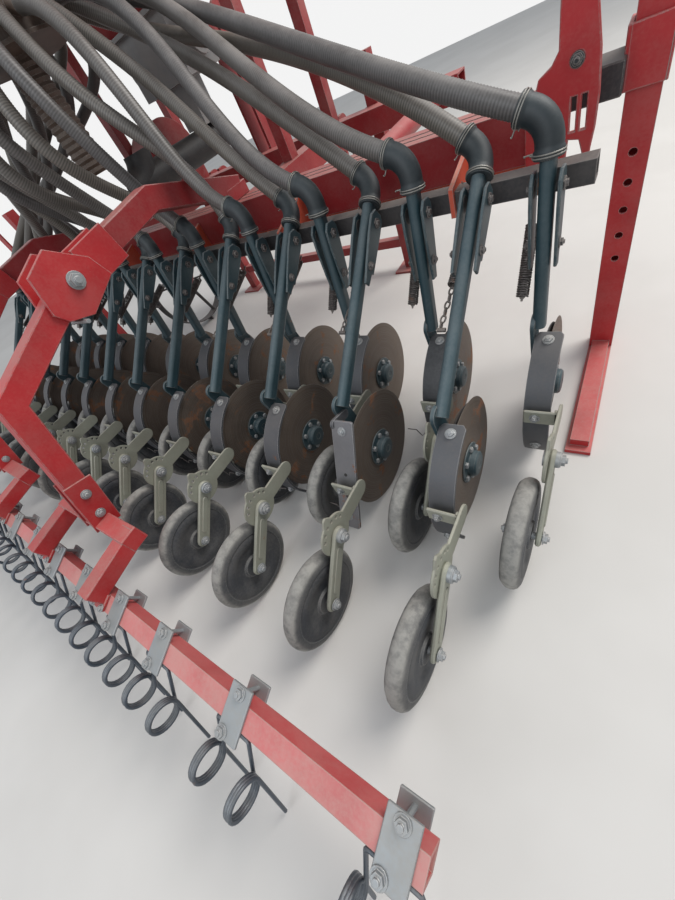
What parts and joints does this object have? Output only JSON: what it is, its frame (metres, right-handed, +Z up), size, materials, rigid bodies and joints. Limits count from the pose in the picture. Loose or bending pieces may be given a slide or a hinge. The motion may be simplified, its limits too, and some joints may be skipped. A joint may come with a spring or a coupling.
{
  "type": "seed drill",
  "caption": "Mounted pneumatic seed drill with staggered single-disc coulters, press wheels, following harrow, hopper, distributor head and fan, on parking stands.",
  "frame": {"origin": "on the ground under the middle of the machine's width and length", "axes": "+X across the machine to its right, +Y forward to the tractor, +Z up"},
  "size_m": [3.167, 2.2439, 1.9793],
  "materials": {
    "red_paint": "weathered gloss",
    "harrow_red": "faded gloss",
    "hopper_red": "weathered gloss",
    "teal_paint": "worn satin",
    "dark_steel": "worn satin",
    "orange_paint": "worn satin",
    "strap_steel": "worn grey",
    "cream_zinc": "zinc, dusty",
    "disc_steel": "rusty",
    "spring_steel": "dark, oily",
    "tine_steel": "dark blue",
    "zinc": "galvanised",
    "tread_rubber": "dusty",
    "elbow_rubber": "matte",
    "hose_plastic": "ribbed, dusty",
    "head_plastic": "matte",
    "duct_plastic": "matte",
    "cast_grey": "cast"
  },
  "bodies": {
    "frame": {"main_beam": "red_paint", "front_frame": "red_paint", "side_plates": "red_paint", "headstock": "red_paint", "coulter_bar": "dark_steel", "bar_brackets": "orange_paint", "arm_brackets": "teal_paint", "coulter_arms_front": "teal_paint", "coulter_arms_rear": "teal_paint", "straps_front": "strap_steel", "straps_rear": "strap_steel", "press_arms_front": "cream_zinc", "press_arms_rear": "cream_zinc", "springs": "spring_steel", "elbows": "elbow_rubber", "seed_hoses": "hose_plastic", "distributor": "head_plastic", "air_duct": "duct_plastic", "fan_housing": "red_paint", "metering_unit": "cast_grey", "hopper": "hopper_red", "hopper_frame": "red_paint", "drive_arm": "red_paint", "harrow_mounts": "red_paint"},
    "harrow": {"harrow_arms": "harrow_red", "harrow_bar": "harrow_red", "harrow_clamps": "zinc", "harrow_tines": "tine_steel"},
    "lid": {"hopper_lid": "hopper_red"},
    "left_stand": {"stand_left": "red_paint"},
    "right_stand": {"stand_right": "red_paint"},
    "front_stand": {"stand_front": "red_paint"},
    "land_wheel": {"drive_wheel": "red_paint"},
    "fan": {"fan_rotor": "cast_grey"},
    "front_discs": {"disc_row_front": "disc_steel"},
    "rear_discs": {"disc_row_rear": "disc_steel"},
    "press_01": {"press_wheel_01": "tread_rubber"},
    "press_02": {"press_wheel_02": "tread_rubber"},
    "press_03": {"press_wheel_03": "tread_rubber"},
    "press_04": {"press_wheel_04": "tread_rubber"},
    "press_05": {"press_wheel_05": "tread_rubber"},
    "press_06": {"press_wheel_06": "tread_rubber"},
    "press_07": {"press_wheel_07": "tread_rubber"},
    "press_08": {"press_wheel_08": "tread_rubber"},
    "press_09": {"press_wheel_09": "tread_rubber"},
    "press_10": {"press_wheel_10": "tread_rubber"},
    "press_11": {"press_wheel_11": "tread_rubber"},
    "press_12": {"press_wheel_12": "tread_rubber"},
    "press_13": {"press_wheel_13": "tread_rubber"},
    "press_14": {"press_wheel_14": "tread_rubber"},
    "press_15": {"press_wheel_15": "tread_rubber"},
    "press_16": {"press_wheel_16": "tread_rubber"},
    "press_17": {"press_wheel_17": "tread_rubber"},
    "press_18": {"press_wheel_18": "tread_rubber"},
    "press_19": {"press_wheel_19": "tread_rubber"},
    "press_20": {"press_wheel_20": "tread_rubber"},
    "press_21": {"press_wheel_21": "tread_rubber"},
    "press_22": {"press_wheel_22": "tread_rubber"},
    "press_23": {"press_wheel_23": "tread_rubber"},
    "press_24": {"press_wheel_24": "tread_rubber"}
  },
  "joints": [
    {"name": "harrow_lift", "type": "hinge", "parent": "frame", "child": "harrow", "pos_m": [0, -0.394, 0.802], "axis": [-1, 0, 0], "range_deg": [0, 25]},
    {"name": "lid_hinge", "type": "hinge", "parent": "frame", "child": "lid", "pos_m": [0, 1.054, 1.946], "axis": [-1, 0, 0], "range_deg": [0, 100]},
    {"name": "left_stand_slide", "type": "slide", "parent": "frame", "child": "left_stand", "axis": [0, 0, 1], "range_m": [0, 0.3]},
    {"name": "right_stand_slide", "type": "slide", "parent": "frame", "child": "right_stand", "axis": [0, 0, 1], "range_m": [0, 0.3]},
    {"name": "front_stand_slide", "type": "slide", "parent": "frame", "child": "front_stand", "axis": [0, 0, 1], "range_m": [0, 0.3]},
    {"name": "land_wheel_spin", "type": "hinge", "parent": "frame", "child": "land_wheel", "pos_m": [-0.8, 0.66, 0.287], "axis": [1, 0, 0], "continuous": true},
    {"name": "fan_spin", "type": "hinge", "parent": "frame", "child": "fan", "pos_m": [-0.335, 0.7, 0.85], "axis": [1, 0, 0], "continuous": true},
    {"name": "front_discs_spin", "type": "hinge", "parent": "frame", "child": "front_discs", "pos_m": [0, 0, 0.172], "axis": [1, 0, 0], "continuous": true},
    {"name": "rear_discs_spin", "type": "hinge", "parent": "frame", "child": "rear_discs", "pos_m": [0, -0.3, 0.172], "axis": [1, 0, 0], "continuous": true},
    {"name": "press_01_spin", "type": "hinge", "parent": "frame", "child": "press_01", "pos_m": [1.4795, -0.427, 0.1245], "axis": [1, 0, 0], "continuous": true},
    {"name": "press_02_spin", "type": "hinge", "parent": "frame", "child": "press_02", "pos_m": [1.3545, -0.727, 0.1245], "axis": [1, 0, 0], "continuous": true},
    {"name": "press_03_spin", "type": "hinge", "parent": "frame", "child": "press_03", "pos_m": [1.2295, -0.427, 0.1245], "axis": [1, 0, 0], "continuous": true},
    {"name": "press_04_spin", "type": "hinge", "parent": "frame", "child": "press_04", "pos_m": [1.1045, -0.727, 0.1245], "axis": [1, 0, 0], "continuous": true},
    {"name": "press_05_spin", "type": "hinge", "parent": "frame", "child": "press_05", "pos_m": [0.9795, -0.427, 0.1245], "axis": [1, 0, 0], "continuous": true},
    {"name": "press_06_spin", "type": "hinge", "parent": "frame", "child": "press_06", "pos_m": [0.8545, -0.727, 0.1245], "axis": [1, 0, 0], "continuous": true},
    {"name": "press_07_spin", "type": "hinge", "parent": "frame", "child": "press_07", "pos_m": [0.7295, -0.427, 0.1245], "axis": [1, 0, 0], "continuous": true},
    {"name": "press_08_spin", "type": "hinge", "parent": "frame", "child": "press_08", "pos_m": [0.6045, -0.727, 0.1245], "axis": [1, 0, 0], "continuous": true},
    {"name": "press_09_spin", "type": "hinge", "parent": "frame", "child": "press_09", "pos_m": [0.4795, -0.427, 0.1245], "axis": [1, 0, 0], "continuous": true},
    {"name": "press_10_spin", "type": "hinge", "parent": "frame", "child": "press_10", "pos_m": [0.3545, -0.727, 0.1245], "axis": [1, 0, 0], "continuous": true},
    {"name": "press_11_spin", "type": "hinge", "parent": "frame", "child": "press_11", "pos_m": [0.2295, -0.427, 0.1245], "axis": [1, 0, 0], "continuous": true},
    {"name": "press_12_spin", "type": "hinge", "parent": "frame", "child": "press_12", "pos_m": [0.1045, -0.727, 0.1245], "axis": [1, 0, 0], "continuous": true},
    {"name": "press_13_spin", "type": "hinge", "parent": "frame", "child": "press_13", "pos_m": [-0.0205, -0.427, 0.1245], "axis": [1, 0, 0], "continuous": true},
    {"name": "press_14_spin", "type": "hinge", "parent": "frame", "child": "press_14", "pos_m": [-0.1455, -0.727, 0.1245], "axis": [1, 0, 0], "continuous": true},
    {"name": "press_15_spin", "type": "hinge", "parent": "frame", "child": "press_15", "pos_m": [-0.2705, -0.427, 0.1245], "axis": [1, 0, 0], "continuous": true},
    {"name": "press_16_spin", "type": "hinge", "parent": "frame", "child": "press_16", "pos_m": [-0.3955, -0.727, 0.1245], "axis": [1, 0, 0], "continuous": true},
    {"name": "press_17_spin", "type": "hinge", "parent": "frame", "child": "press_17", "pos_m": [-0.5205, -0.427, 0.1245], "axis": [1, 0, 0], "continuous": true},
    {"name": "press_18_spin", "type": "hinge", "parent": "frame", "child": "press_18", "pos_m": [-0.6455, -0.727, 0.1245], "axis": [1, 0, 0], "continuous": true},
    {"name": "press_19_spin", "type": "hinge", "parent": "frame", "child": "press_19", "pos_m": [-0.7705, -0.427, 0.1245], "axis": [1, 0, 0], "continuous": true},
    {"name": "press_20_spin", "type": "hinge", "parent": "frame", "child": "press_20", "pos_m": [-0.8955, -0.727, 0.1245], "axis": [1, 0, 0], "continuous": true},
    {"name": "press_21_spin", "type": "hinge", "parent": "frame", "child": "press_21", "pos_m": [-1.0205, -0.427, 0.1245], "axis": [1, 0, 0], "continuous": true},
    {"name": "press_22_spin", "type": "hinge", "parent": "frame", "child": "press_22", "pos_m": [-1.1455, -0.727, 0.1245], "axis": [1, 0, 0], "continuous": true},
    {"name": "press_23_spin", "type": "hinge", "parent": "frame", "child": "press_23", "pos_m": [-1.2705, -0.427, 0.1245], "axis": [1, 0, 0], "continuous": true},
    {"name": "press_24_spin", "type": "hinge", "parent": "frame", "child": "press_24", "pos_m": [-1.3955, -0.727, 0.1245], "axis": [1, 0, 0], "continuous": true}
  ]
}
